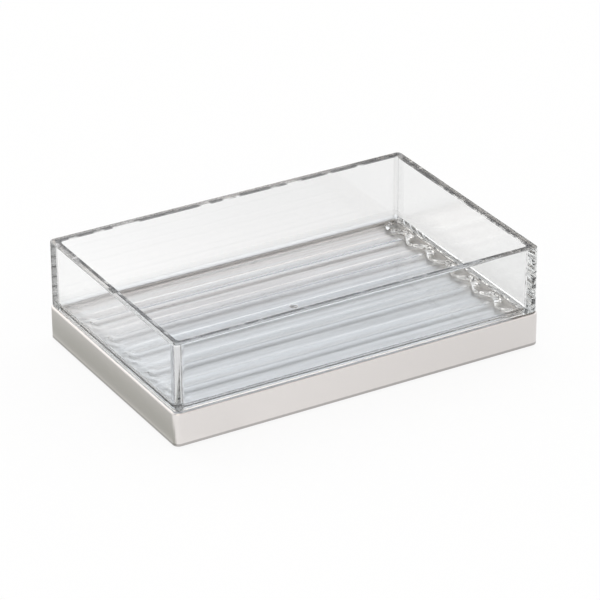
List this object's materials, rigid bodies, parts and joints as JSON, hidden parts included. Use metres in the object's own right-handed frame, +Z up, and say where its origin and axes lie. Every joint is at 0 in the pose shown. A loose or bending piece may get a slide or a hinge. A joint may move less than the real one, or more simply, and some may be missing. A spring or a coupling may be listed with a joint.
{
  "type": "soap dish",
  "caption": "Rectangular soap dish: a clear walled tray with long drain ribs on its floor, seated in a low satin nickel plinth on soft corner feet.",
  "frame": {"origin": "middle of the footprint, on the surface that the feet stand on", "axes": "+X along the long side, to the right as the front is seen; +Y from front to back; +Z up out of the tray"},
  "size_m": [0.1414, 0.091, 0.0377],
  "materials": {
    "clear_plastic": "polished",
    "satin_nickel": "satin",
    "soft_rubber": "matte"
  },
  "bodies": {
    "base": {"base": "satin_nickel", "foot_front_left": "soft_rubber", "foot_front_right": "soft_rubber", "foot_rear_left": "soft_rubber", "foot_rear_right": "soft_rubber"},
    "tray": {"tray": "clear_plastic"}
  },
  "joints": [
    {"name": "tray_lift", "type": "slide", "parent": "base", "child": "tray", "axis": [0, 0, 1], "range_m": [0, 0.04]}
  ]
}
